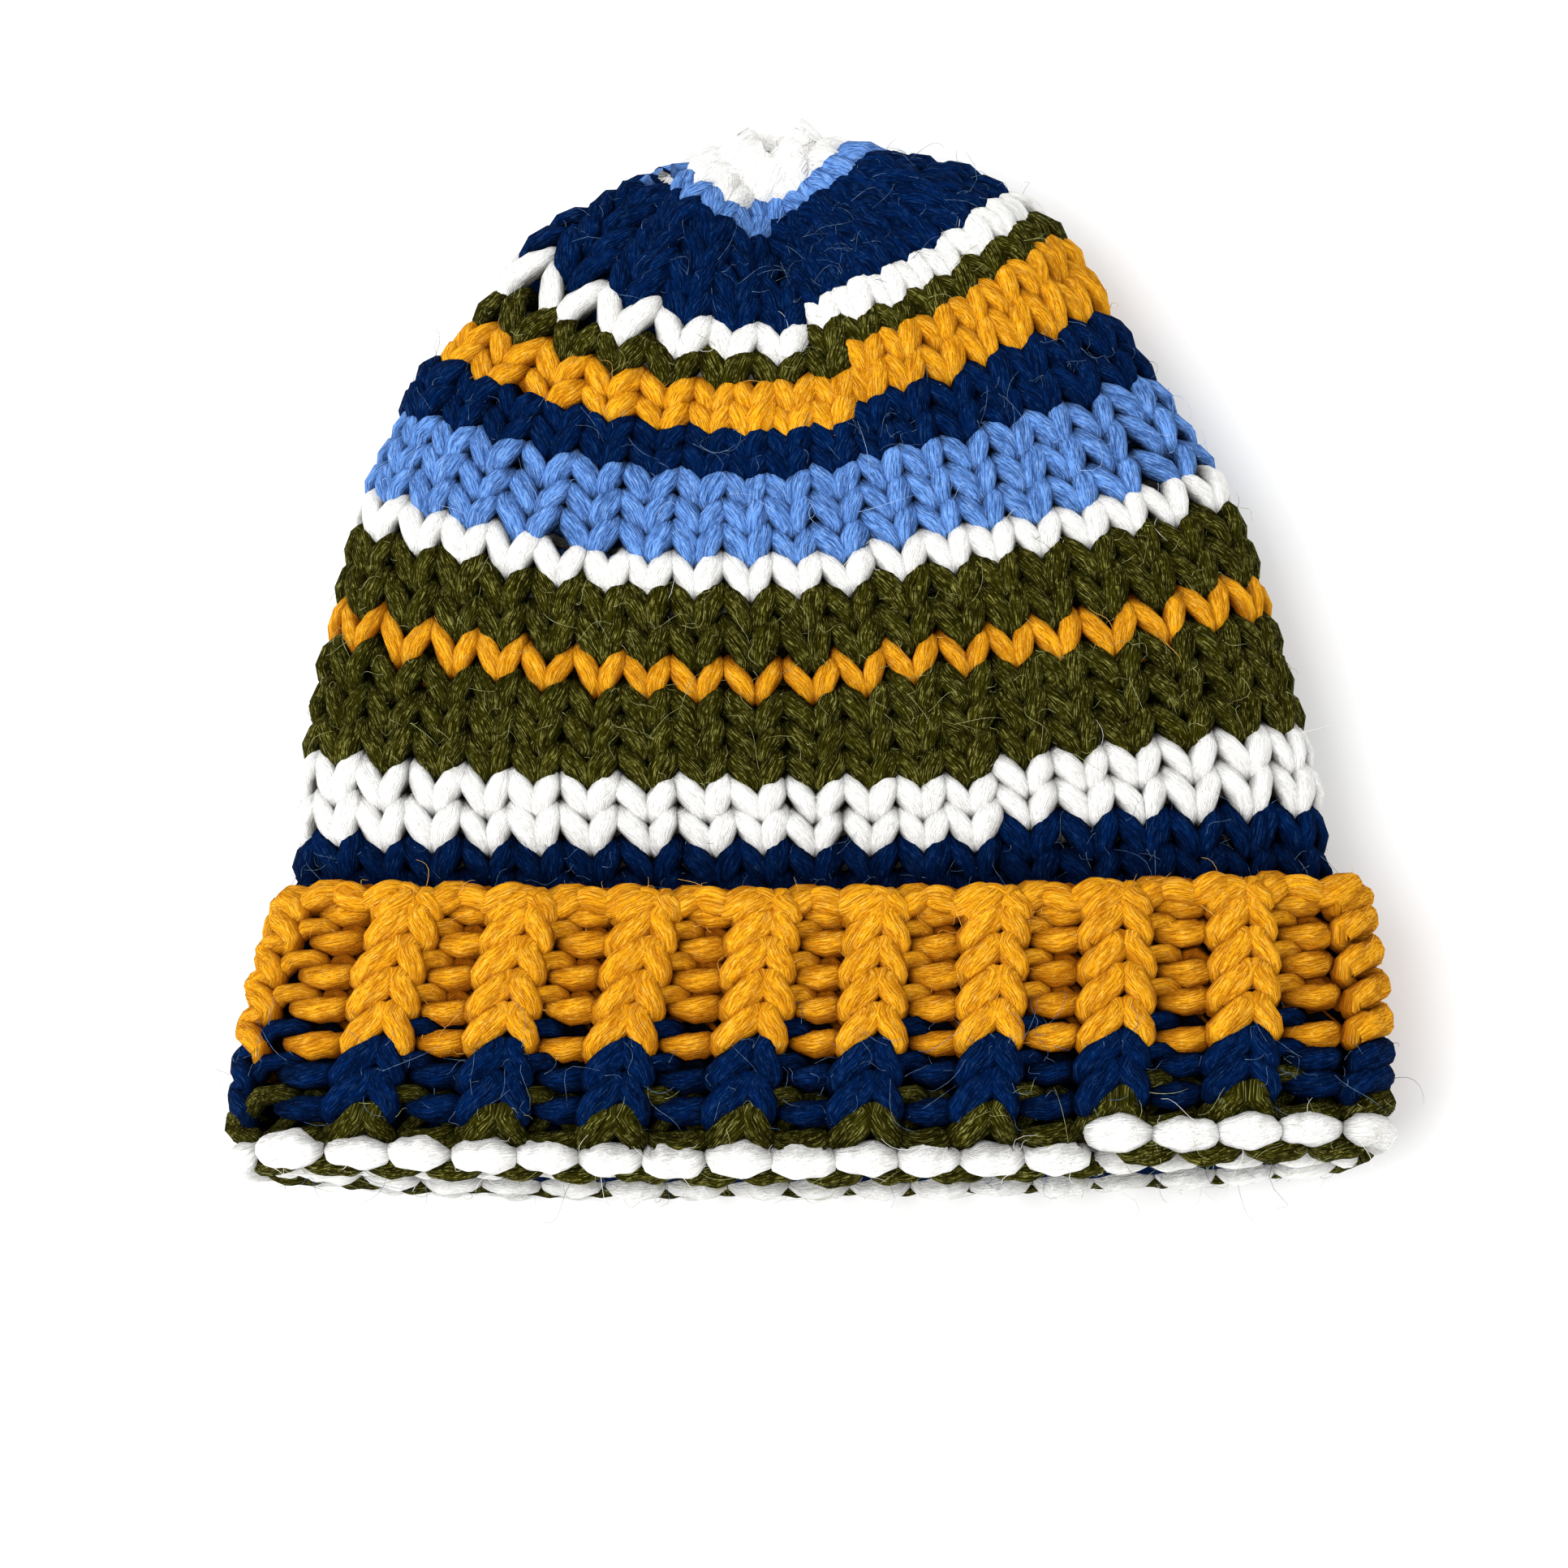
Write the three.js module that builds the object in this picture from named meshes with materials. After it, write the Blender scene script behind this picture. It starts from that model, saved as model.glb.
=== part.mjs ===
// A hand-knitted beanie with a turned-up cuff, lying flat on its back.
// Millimetres. +X runs across the hat, +Y from the hem to the crown and +Z up.
// The hat is a wide tube of thick fabric, squashed flat under its own weight. One end is drawn
// together at the crown, and the other is turned outwards and back up over itself as the cuff.

import * as THREE from 'three';

// Driving dimensions.
const WALL = 8; // the thickness of the bulky fabric
const SLIP_GAP = 0.7; // between the cuff and the body inside it
const SQUARENESS = 2.7; // 2 is an ellipse, and more is a fuller, pillow-like section
const AROUND = 64; // facets round the hat
const STEPS_PER_SECTION = 2; // rings from one row of the table to the next
const PLEATS = 9; // gathers round the crown
const NOTCH_WIDTH = 8; // of the fold between the crown's two humps
const BODY_START = 2; // the round where the body solid begins, inside the hem fold
const HEM_CLEARANCE = 0.1; // rounds between the hem fold and the body's end
const LINING_END = 28.5; // the round where the hollow ends, under the gathered crown
const CROWN_DIMPLE = 3; // how far the drawn-in centre lies below the last round
const CROWN_TILT = 0.07; // how far the crown's right side lies back of its left, as a share of the width
const CROWN_TILT_SETS_IN = [28, 34]; // between these rounds
const CROWN_MIDDLE = -6; // where along x the tilt leaves the crown as it is

// The outer face of the fabric, round by round. Rounds are counted from the hem fold.
// top, side and under: distance from the hem along the upper face, the folded sides and the underside.
// half: half the width. lean: how far the middle lies off the centre line.
// high and low: the upper and lower face. pleat and notch: depths of the gathers and the crown's fold.
const SECTION_COLUMNS = ['round', 'top', 'side', 'under', 'half', 'lean', 'high', 'low', 'pleat', 'notch'];
const SECTIONS = [
  [0, 0, 4, 0, 107, 0, 34, 8.4, 0, 0],
  [2, 12, 16, 12, 107, 0, 34.4, 8.4, 0, 0],
  [6, 37, 41, 37, 108, 0, 34.6, 8.4, 0, 0],
  [9.7, 59, 64, 59, 105.5, 0, 34.6, 8.4, 0, 0],
  [12, 74, 86, 76, 104.5, -1, 36, 3, 0, 0],
  [16.5, 101, 126, 106, 97, -2, 38, -0.6, 0, 0],
  [19.5, 123, 150, 130, 90, -3.5, 38.5, -0.6, 0, 0],
  [23, 145, 171, 155, 79, -4.5, 39, -0.6, 0.4, 0],
  [26, 160, 189, 178, 68, -4, 40, -0.6, 0.8, 0],
  [28.5, 175, 207, 200, 56.5, -2.5, 41, -0.6, 1.5, 1],
  [31, 190, 216.5, 217, 42.5, -3.5, 41, 1.5, 2.5, 5],
  [33, 202.5, 221.5, 224, 29, -6.5, 38.5, 6.5, 2.5, 8],
  [34.5, 209, 224, 227, 18, -7.5, 35, 13, 1.2, 5],
  [36, 216, 224, 226, 6, -8, 29.5, 20, 0, 0],
].map((row) => Object.fromEntries(SECTION_COLUMNS.map((column, place) => [column, row[place]])));

// The cuff's own section: a wall outside the body, ending below in the fold that wraps the body's end.
// out: distance outwards from the body's outer face.
const CUFF_PROFILE = [
  { round: 9.3, out: SLIP_GAP },
  { round: 9.75, out: 2.4 },
  { round: 9.85, out: 5.2 },
  { round: 9.6, out: 7.8 },
  { round: 9, out: 8.8 },
  { round: 7.5, out: 9 },
  { round: 6, out: 9 },
  { round: 4, out: 9 },
  { round: 2.4, out: 8.8 },
  { round: 1.1, out: 7.6 },
  { round: 0.35, out: 4.6 },
  { round: 0, out: 0.4 },
  { round: 0.3, out: -3.8 },
  { round: 1, out: -7.2 },
  { round: BODY_START - HEM_CLEARANCE, out: -WALL },
  { round: BODY_START - HEM_CLEARANCE, out: SLIP_GAP },
  { round: 4, out: SLIP_GAP },
  { round: 6, out: SLIP_GAP },
  { round: 7.85, out: SLIP_GAP },
];

const FEEL = 1e-3; // a small step, for directions along the surface

// The table at any round, each column on a smooth curve through its rows.
function sectionAt(round) {
  const last = SECTIONS.length - 2;
  const found = SECTIONS.findIndex((row) => row.round > round) - 1;
  const i = found < 0 ? (round < 0 ? 0 : last) : Math.min(found, last);
  const [a, b] = [SECTIONS[i], SECTIONS[i + 1]];
  const [before, after] = [SECTIONS[i - 1] ?? a, SECTIONS[i + 2] ?? b];
  const span = b.round - a.round;
  const t = (round - a.round) / span;
  const at = {};
  for (const column of Object.keys(a)) {
    const slopeA = ((b[column] - before[column]) / (b.round - before.round)) * span;
    const slopeB = ((after[column] - a[column]) / (after.round - a.round)) * span;
    at[column] =
      a[column] * (2 * t ** 3 - 3 * t ** 2 + 1) + slopeA * (t ** 3 - 2 * t ** 2 + t) +
      b[column] * (3 * t ** 2 - 2 * t ** 3) + slopeB * (t ** 3 - t ** 2);
  }
  return at;
}

// 0 up to the first round, 1 from the last on, and a smooth step between.
function smoothStep(round, [first, last]) {
  const t = Math.min(Math.max((round - first) / (last - first), 0), 1);
  return t * t * (3 - 2 * t);
}

const signedPower = (value, power) => Math.sign(value) * Math.abs(value) ** power;

// A point of the outer face: angle 0 is the right-hand fold and a quarter turn is the upper face.
function facePoint(round, angle) {
  const s = sectionAt(round);
  const across = signedPower(Math.cos(angle), 2 / SQUARENESS);
  const rise = signedPower(Math.sin(angle), 2 / SQUARENESS);
  const middle = rise > 0 ? s.top : s.under;
  const gather = (s.pleat * (1 - Math.cos(PLEATS * angle))) / 2;
  const x = s.lean + (s.half - gather) * across;
  const fold = rise > 0 ? s.notch * rise * Math.exp(-(((s.half * across) / NOTCH_WIDTH) ** 2)) : 0;
  const z = (s.high + s.low) / 2 + ((s.high - s.low) / 2 - gather) * rise - fold;
  const tilt = CROWN_TILT * smoothStep(round, CROWN_TILT_SETS_IN) * (x - CROWN_MIDDLE);
  return new THREE.Vector3(x, s.side * across ** 2 + middle * (1 - across ** 2) + tilt, z);
}

// The direction out of the fabric, square to its outer face.
function outward(round, angle) {
  const along = facePoint(round + FEEL, angle).sub(facePoint(round - FEEL, angle));
  const around = facePoint(round, angle + FEEL).sub(facePoint(round, angle - FEEL));
  return along.cross(around).normalize();
}

// The direction out of the fabric within the hat's cross-section.
function sideways(round, angle) {
  const around = facePoint(round, angle + FEEL).sub(facePoint(round, angle - FEEL));
  return new THREE.Vector3(around.z, 0, -around.x).normalize();
}

// What would sink below the surface that the hat lies on is flattened against it.
function layDown(point) {
  point.z = Math.max(point.z, 0);
  return point;
}

const angleOf = (step) => (2 * Math.PI * step) / AROUND;
const ring = (pointAt) => Array.from({ length: AROUND }, (_, step) => layDown(pointAt(angleOf(step))));
const centreOf = (points) =>
  points.reduce((sum, p) => sum.add(p), new THREE.Vector3()).divideScalar(points.length);

// Rounds to build rings at: each section of the table and the steps between, from first to last.
function stations(first, last) {
  const rounds = [];
  const inside = SECTIONS.map((row) => row.round).filter((round) => round >= first && round <= last);
  for (let i = 0; i + 1 < inside.length; i++)
    for (let step = 0; step < STEPS_PER_SECTION; step++)
      rounds.push(inside[i] + ((inside[i + 1] - inside[i]) * step) / STEPS_PER_SECTION);
  return [...rounds, inside.at(-1)];
}

// A closed mesh from rings joined in order. A ring of one point is a pole. With loop, the last ring
// joins the first.
function skin(rings, loop, name, colour, roughness) {
  const starts = [];
  const positions = [];
  for (const points of rings) {
    starts.push(positions.length / 3);
    for (const p of points) positions.push(p.x, p.y, p.z);
  }
  const faces = [];
  const pairs = loop ? rings.length : rings.length - 1;
  for (let i = 0; i < pairs; i++) {
    const next = (i + 1) % rings.length;
    for (let step = 0; step < AROUND; step++) {
      const turn = (step + 1) % AROUND;
      const here = (index) => starts[i] + (rings[i].length === 1 ? 0 : index);
      const there = (index) => starts[next] + (rings[next].length === 1 ? 0 : index);
      if (rings[i].length > 1) faces.push(here(turn), here(step), there(step));
      if (rings[next].length > 1) faces.push(here(turn), there(step), there(turn));
    }
  }
  const geometry = new THREE.BufferGeometry();
  geometry.setAttribute('position', new THREE.Float32BufferAttribute(positions, 3));
  geometry.setIndex(faces);
  geometry.computeVertexNormals();
  const material = new THREE.MeshStandardMaterial({ color: colour, roughness, metalness: 0 });
  const mesh = new THREE.Mesh(geometry, material);
  mesh.name = name;
  return mesh;
}

// The body: the outer face from the hem fold to the drawn-in crown, and the hollow inside it.
function knittedBody() {
  const outer = stations(BODY_START, SECTIONS.at(-1).round).map((round) =>
    ring((angle) => facePoint(round, angle)));
  const inner = stations(BODY_START, LINING_END).map((round) =>
    ring((angle) => {
      const face = layDown(facePoint(round, angle));
      return face.addScaledVector(outward(round, angle), -WALL);
    }));
  const drawnIn = centreOf(outer.at(-1));
  drawnIn.y -= CROWN_DIMPLE;
  const hollowEnd = centreOf(inner.at(-1));
  hollowEnd.y += WALL / 2;
  return skin([[hollowEnd], ...inner.reverse(), ...outer, [drawnIn]], false, 'knitted_body', 0x565f1c, 0.95);
}

// The cuff: a band round the lower body, with the fold that forms the hem.
function turnedUpCuff() {
  const rings = CUFF_PROFILE.map(({ round, out }) =>
    ring((angle) => facePoint(round, angle).addScaledVector(sideways(round, angle), out)));
  return skin(rings.reverse(), true, 'turned_up_cuff', 0xe0951c, 0.95);
}

const beanie = new THREE.Group();
beanie.add(knittedBody(), turnedUpCuff());

// The origin is under the middle of the hat.
const box = new THREE.Box3().setFromObject(beanie);
beanie.position.set(-(box.min.x + box.max.x) / 2, -(box.min.y + box.max.y) / 2, -box.min.z);

export default beanie;
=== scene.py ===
"""A hand-knitted beanie lying flat: every round of yarn is a tube of real loops, laid on the squashed
hat's surface. Lengths in the tables and shape functions are millimetres, and meshes are made in metres."""

import bpy
import numpy as np
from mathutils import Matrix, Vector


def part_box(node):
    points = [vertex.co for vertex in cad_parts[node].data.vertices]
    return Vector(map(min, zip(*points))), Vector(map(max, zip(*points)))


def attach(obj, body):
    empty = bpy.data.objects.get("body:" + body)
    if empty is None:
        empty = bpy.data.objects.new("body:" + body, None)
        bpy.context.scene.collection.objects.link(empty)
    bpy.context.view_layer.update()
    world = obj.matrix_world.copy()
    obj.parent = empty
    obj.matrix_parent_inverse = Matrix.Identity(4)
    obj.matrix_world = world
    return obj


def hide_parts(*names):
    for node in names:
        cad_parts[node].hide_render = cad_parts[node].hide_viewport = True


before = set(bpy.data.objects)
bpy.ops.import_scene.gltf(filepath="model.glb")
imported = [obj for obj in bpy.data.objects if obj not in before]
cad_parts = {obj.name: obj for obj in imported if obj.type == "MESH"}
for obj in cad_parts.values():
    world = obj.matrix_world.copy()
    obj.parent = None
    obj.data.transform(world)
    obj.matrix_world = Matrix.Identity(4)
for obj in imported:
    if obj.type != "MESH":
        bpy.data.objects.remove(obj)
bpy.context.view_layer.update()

MM = 0.001
TURN = 2 * np.pi

# ---------------------------------------------------------------- the hat's form, as in the part
SQUARENESS = 2.7
PLEATS = 9
NOTCH_WIDTH = 8.0
SLIP_GAP = 0.7

# Rounds are counted from the hem fold. top, side and under: distance from the hem along the upper face,
# the folded sides and the underside. half: half the width. lean: how far the middle lies off the centre
# line. high and low: the upper and lower face. pleat and notch: depths of the gathers and the crown's fold.
SECTION_COLUMNS = ("round", "top", "side", "under", "half", "lean", "high", "low", "pleat", "notch")
SECTIONS = np.array([
    (0, 0, 4, 0, 107, 0, 34, 8.4, 0, 0),
    (2, 12, 16, 12, 107, 0, 34.4, 8.4, 0, 0),
    (6, 37, 41, 37, 108, 0, 34.6, 8.4, 0, 0),
    (9.7, 59, 64, 59, 105.5, 0, 34.6, 8.4, 0, 0),
    (12, 74, 86, 76, 104.5, -1, 36, 3, 0, 0),
    (16.5, 101, 126, 106, 97, -2, 38, -0.6, 0, 0),
    (19.5, 123, 150, 130, 90, -3.5, 38.5, -0.6, 0, 0),
    (23, 145, 171, 155, 79, -4.5, 39, -0.6, 0.4, 0),
    (26, 160, 189, 178, 68, -4, 40, -0.6, 0.8, 0),
    (28.5, 175, 207, 200, 56.5, -2.5, 41, -0.6, 1.5, 1),
    (31, 190, 216.5, 217, 42.5, -3.5, 41, 1.5, 2.5, 5),
    (33, 202.5, 221.5, 224, 29, -6.5, 38.5, 6.5, 2.5, 8),
    (34.5, 209, 224, 227, 18, -7.5, 35, 13, 1.2, 5),
    (36, 216, 224, 226, 6, -8, 29.5, 20, 0, 0),
], dtype=float)
LAST_ROUND = SECTIONS[-1, 0]
HEM_HALF = SECTIONS[0, SECTION_COLUMNS.index("half")]
HEM_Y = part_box("turned_up_cuff")[0][1] / MM


def section_at(rounds):
    """Each column of SECTIONS at these rounds: a cubic through the rows, whose slope at a row is that of
    the line between the rows on its two sides."""
    rows = SECTIONS[:, 0]
    i = np.clip(np.searchsorted(rows, rounds, side="right") - 1, 0, len(rows) - 2)
    a, b = SECTIONS[i], SECTIONS[i + 1]
    before, after = SECTIONS[np.maximum(i - 1, 0)], SECTIONS[np.minimum(i + 2, len(rows) - 1)]
    span = b[..., :1] - a[..., :1]
    t = (rounds[..., None] - a[..., :1]) / span
    slope_a = (b - before) / (b[..., :1] - before[..., :1]) * span
    slope_b = (after - a) / (after[..., :1] - a[..., :1]) * span
    found = (a * (2 * t**3 - 3 * t**2 + 1) + slope_a * (t**3 - 2 * t**2 + t)
             + b * (3 * t**2 - 2 * t**3) + slope_b * (t**3 - t**2))
    return dict(zip(SECTION_COLUMNS, np.moveaxis(found, -1, 0)))


def signed_power(value, power):
    return np.sign(value) * np.abs(value) ** power


def face_points(rounds, angle):
    """The hat's outer face. A round is a superellipse in x and z whose y runs from the sides to the
    middle as 1 - x squared. The crown's pleats are a cosine round it, and its fold is a bell curve in x."""
    s = section_at(rounds)
    across = signed_power(np.cos(angle), 2 / SQUARENESS)
    rise = signed_power(np.sin(angle), 2 / SQUARENESS)
    gather = s["pleat"] * (1 - np.cos(PLEATS * angle)) / 2
    x = s["lean"] + (s["half"] - gather) * across
    fold = np.maximum(rise, 0) * s["notch"] * np.exp(-(s["half"] * across / NOTCH_WIDTH) ** 2)
    z = (s["high"] + s["low"]) / 2 + ((s["high"] - s["low"]) / 2 - gather) * rise - fold
    middle = np.where(rise > 0, s["top"], s["under"])
    y = HEM_Y + s["side"] * across**2 + middle * (1 - across**2)
    return np.stack([x, y, np.maximum(z, 0)], axis=-1)


def smooth(value, low, high):
    """0 up to low, 1 from high on, and a smooth step between."""
    step = np.clip((value - low) / (high - low), 0, 1)
    return step**2 * (3 - 2 * step)


def unit(vectors):
    return vectors / np.maximum(np.linalg.norm(vectors, axis=-1, keepdims=True), 1e-12)


def grid_normals(points):
    """Normals of a grid whose second direction closes on itself: the cross product of its differences."""
    along = np.gradient(points, axis=0)
    around = np.roll(points, -1, axis=1) - np.roll(points, 1, axis=1)
    return unit(np.cross(along, around))


# ---------------------------------------------------------------- the fabric, course by course
# Courses are counted from the cast-on edge at the top of the cuff, down it, round the hem fold and up the
# body. A row of a path says at which course the fabric lies at which round, and how far out its middle
# lies from the body's face.
CUFF_OUT = SLIP_GAP + 4.4
BODY_OUT = -4.3
LAST_COURSE = 45.0
CUFF_PATH = [
    (0, 9.35, CUFF_OUT),
    (1, 8.6, CUFF_OUT),
    (5, 4.2, CUFF_OUT),
    (7, 2.1, CUFF_OUT),
]
BODY_PATH = [
    (18.7, 9.7, BODY_OUT),  # where the body comes out of the cuff
    (42, 33, BODY_OUT),
    (44, 35, -3.2),
    (LAST_COURSE, LAST_ROUND, -2.4),
]
HEM_COURSES = (7.7, 11.0)  # the courses that go round the hem fold
HEM_ROUND = 1.4  # the centre of the fold
HEM_REACH = 0.7  # its radius, in rounds
HEM_POINTS = 15
AROUND_STEPS = 720
COURSE_STEP = 0.1
ROUND_STEP = 0.1

# By course: how many rounds lower both folded sides lie, and how many higher the right one and lower the
# left.
DROOP_COURSES = (17, 21, 26, 30, 33, 36, 40, 43, 45)
SIDE_DROOP = (0.1, 0.65, 0.95, 1.0, 0.75, 0.5, 0.4, 0.1, 0)
SIDE_SKEW = (0, 0, 0, 0, 0.3, 1.05, 0.9, 0.2, 0)
TILT = 0.01  # how far the hat's right side lies back of its left, as a share of x
CROWN_TILT = 0.07  # how much further the crown's does
CROWN_COURSES = (37.0, 43.0)  # the courses over which that sets in
CROWN_MIDDLE = -6.0  # and the x it turns about
CUFF_DRAWN_IN = 5.0  # how much narrower each side of the cuff is at its cast-on edge
CUFF_LEAN = 2.0  # how far that edge lies to the right
HEM_SHIFT = 0.6  # and how far the hem lies to the left


def fabric_path():
    """The middle of the fabric in the hat's length: straight down the cuff, a half circle round the hem
    and back up the body. Returns courses, rounds and distances out."""
    bend = np.linspace(0, np.pi, HEM_POINTS)
    middle, reach = (CUFF_OUT + BODY_OUT) / 2, (CUFF_OUT - BODY_OUT) / 2
    courses = np.linspace(*HEM_COURSES, HEM_POINTS)
    hem = np.stack([courses, HEM_ROUND - HEM_REACH * np.sin(bend), middle + reach * np.cos(bend)], axis=1)
    return np.concatenate([CUFF_PATH, hem, BODY_PATH]).T


def cuff_share(course):
    """1 at the cuff's cast-on edge, falling evenly to 0 at the hem, and 0 on the body."""
    return np.clip(1 - course / HEM_COURSES[0], 0, 1)


def even_face():
    """Points and normals of the body's face: rows by round, columns by share of the way round from the
    middle of the underside. Each round is measured off in equal lengths."""
    rounds = np.arange(0, LAST_ROUND + ROUND_STEP / 2, ROUND_STEP)
    angle = np.linspace(-TURN / 4, TURN * 3 / 4, 2 * AROUND_STEPS + 1)
    face = face_points(*np.broadcast_arrays(rounds[:, None], angle[None, :]))
    steps = np.linalg.norm(np.diff(face, axis=1), axis=-1)
    walked = np.concatenate([np.zeros((len(rounds), 1)), np.cumsum(steps, axis=1)], axis=1)
    share = np.arange(AROUND_STEPS) / AROUND_STEPS
    even = np.stack([np.stack([np.interp(share, w / w[-1], p[:, i]) for i in range(3)], axis=-1)
                     for w, p in zip(walked, face)])
    return even, grid_normals(even)


def lean_over(points, courses):
    """The cuff is drawn in towards its edge in proportion to x, and the whole hat is skewed by adding a
    share of x to y."""
    up_cuff = cuff_share(courses)[:, None]
    on_cuff = (courses < HEM_COURSES[1])[:, None]
    drawn_in = points[..., 0] / HEM_HALF * CUFF_DRAWN_IN * up_cuff
    points[..., 0] += np.where(on_cuff, CUFF_LEAN * up_cuff - HEM_SHIFT * (1 - up_cuff) - drawn_in, 0)
    at_crown = smooth(courses, *CROWN_COURSES)[:, None]
    points[..., 1] += TILT * points[..., 0] + CROWN_TILT * at_crown * (points[..., 0] - CROWN_MIDDLE)


def make_fabric():
    """Points and normals of the fabric's middle on an even grid, by course and share of the way round. It
    is the face at each course's round, by straight lines between the face's rows, moved out along the
    normal. The sides droop by a squared sine of the way round and skew by a sine."""
    face, normals = even_face()
    courses = np.arange(0, LAST_COURSE + COURSE_STEP / 2, COURSE_STEP)
    at_course, at_round, out = fabric_path()
    to_side = np.sin(TURN * (np.arange(AROUND_STEPS) / AROUND_STEPS))
    droop = np.interp(courses, DROOP_COURSES, SIDE_DROOP)[:, None] * to_side**2
    skew = np.interp(courses, DROOP_COURSES, SIDE_SKEW)[:, None] * to_side
    row = (np.interp(courses, at_course, at_round)[:, None] - droop + skew) / ROUND_STEP
    low = np.clip(row.astype(int), 0, len(face) - 2)
    part = (row - low)[:, :, None]
    column = np.arange(AROUND_STEPS)[None, :]
    points, facing = (grid[low, column] * (1 - part) + grid[low + 1, column] * part
                      for grid in (face, normals))
    points = points + facing * np.interp(courses, at_course, out)[:, None, None]
    lean_over(points, courses)
    return points, grid_normals(points)


FABRIC, FABRIC_NORMALS = make_fabric()


def on_fabric(share, course):
    """Where points of the fabric lie, and which way it faces there, by straight lines between grid points."""
    x = np.mod(share, 1) * AROUND_STEPS
    y = np.clip(course / COURSE_STEP, 0, len(FABRIC) - 1.001)
    i, j = y.astype(int), x.astype(int) % AROUND_STEPS
    u, v = (x - np.floor(x))[..., None], (y - i)[..., None]
    k = (j + 1) % AROUND_STEPS
    found = []
    for grid in (FABRIC, FABRIC_NORMALS):
        found.append((grid[i, j] * (1 - u) + grid[i, k] * u) * (1 - v)
                     + (grid[i + 1, j] * (1 - u) + grid[i + 1, k] * u) * v)
    return found[0], unit(found[1])


# ---------------------------------------------------------------- stitches
# Stitches in each round, from the cast-on edge up. The last rounds are the crown's decreases.
STITCHES = [36] * 11 + [40] * 18 + [36] * 3 + [34] * 2 + [32] * 2 + [28, 26, 24, 24, 20, 20, 16, 12, 8]
RIB_ROUNDS = 8
ROUND_STARTS = np.concatenate([[0], np.cumsum(STITCHES)])

# The shares of the way round where rounds begin: on the body, on the rib, underneath, and round the hem.
SEAM = 0.41
CUFF_SEAM = 0.0466
HEM_SEAM = 0.379

EASE_ROUNDS = (20, 23, 27, 33, 34)  # how much of a course each side of a join gives way, by round
SEAM_EASE = (0.2, 0.36, 0.46, 0.46, 0.06)
EASE_LENGTH = 0.045  # and over how long a stretch
JOIN_ROUNDS = (22, 25, 36, 37)  # a new colour is joined in this many stitches past the seam, by round
JOIN_PAST = (0, 2, 2, 3)

EVENING_TIMES = 3  # how often a round's stitches are eased towards even widths
EVENING = 0.35  # and by how much each time
DECREASE_SHIFT = 0.17  # how far decreases move on from one round to the next, over three rounds
DECREASE_SPREAD = 0.4  # and how much closer together they lie than an even spread


def wale_edges():
    """For each round, where its stitches' sides lie as shares of the way round. A decrease drops the line
    between two stitches, and the rest then ease towards even widths."""
    rounds = []
    edges = np.linspace(0, 1, STITCHES[0] + 1)
    for number, count in enumerate(STITCHES):
        if count > len(edges) - 1:
            edges = np.linspace(0, 1, count + 1)
        drop = len(edges) - 1 - count
        if drop:
            lines = np.arange(drop) + 0.5 + DECREASE_SHIFT * (number % 3)
            lines = lines * (len(edges) - 1) / (drop + DECREASE_SPREAD)
            edges = np.delete(edges, np.clip(np.round(lines).astype(int), 1, len(edges) - 2))
        for _ in range(EVENING_TIMES):
            edges[1:-1] += EVENING * ((edges[2:] + edges[:-2]) / 2 - edges[1:-1])
        rounds.append(edges.copy())
    return rounds


# For every stitch of the hat in the order worked: its round, its place in it, how many stitches that
# round has, where its left side lies and how wide it is, as shares of the way round.
WALES = wale_edges()
ROUND_OF = np.concatenate([np.full(n, r) for r, n in enumerate(STITCHES)])
PLACE_OF = np.concatenate([np.arange(n) for n in STITCHES])
COUNT_OF = np.concatenate([np.full(n, n) for n in STITCHES])
LEFT_OF = np.concatenate([e[:-1] for e in WALES]) + SEAM
WIDTH_OF = np.concatenate([np.diff(e) for e in WALES])

SIDES = 12  # corners of a tube of yarn
STEPS = 22  # and its rings in one stitch
HIDDEN_SIDES = 6  # both are fewer where the yarn is out of sight
HIDDEN_STEPS = 11
PLIES = 3
PLY_LENGTH = 38.0  # the yarn's twist, one turn in this length
PLY_RELIEF = 0.12  # how deep the grooves between the plies are, as a share of the yarn's radius
FIBRE_TURN = 0.6  # how far the fibres are turned back from the plies' slant towards the yarn's own line
YARN = 2.45  # the yarn's radius

rng = np.random.default_rng(11)
UNEVEN = rng.uniform(-1, 1, (len(ROUND_OF), 8))  # of each stitch's eight numbers, three are spare

# How columns of stitches bend on their way up, as sines: how far, as a share of the way round, how many
# waves round the hat, how far they turn from course to course, and where they start.
WANDER = ((0.0020, 5, 0.35, 0.0), (0.0014, 11, -0.5, 2.0))


def wander(share, course):
    return sum(far * np.sin(waves * TURN * share + climb * course + start)
               for far, waves, climb, start in WANDER)


def stitches_in(pick):
    """Round, place and count of these stitches, one row for each."""
    return (a[pick, None].astype(float) for a in (ROUND_OF, PLACE_OF, COUNT_OF))


def unevenness(pick):
    """How far each of these stitches strays across, up and out, and how much plumper its two legs are, all
    from -1 to 1."""
    return UNEVEN[pick].T[:5, :, None]


def along_stitch(steps):
    """The steps of one stitch, once round from 0, closer together at the ends of its two legs, by a sine."""
    u = np.arange(steps) / steps * TURN
    return (u + 0.1 * np.sin(4 * u))[None, :]


def even_steps():
    """The steps of one stitch, once round from 0, all alike."""
    return (np.arange(STEPS) / STEPS * TURN)[None, :]


def bell(t, middle, spread=0.8):
    return np.exp(-((t - middle) / spread) ** 2)


# ---------------------------------------------------------------- plain stitches of the body
# Shares of the stitch's width:
LOOP_LEAN = -0.035  # how far the head lies to one side
LOOP_OPEN = 0.25  # how far the legs bow apart
# Rounds:
LOOP_TALL = 1.76  # from feet to head
CROWN_STRETCH = 0.5  # how much taller in the crown
STRETCH_ROUNDS = (35.5, 38)  # the rounds over which that sets in
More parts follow.
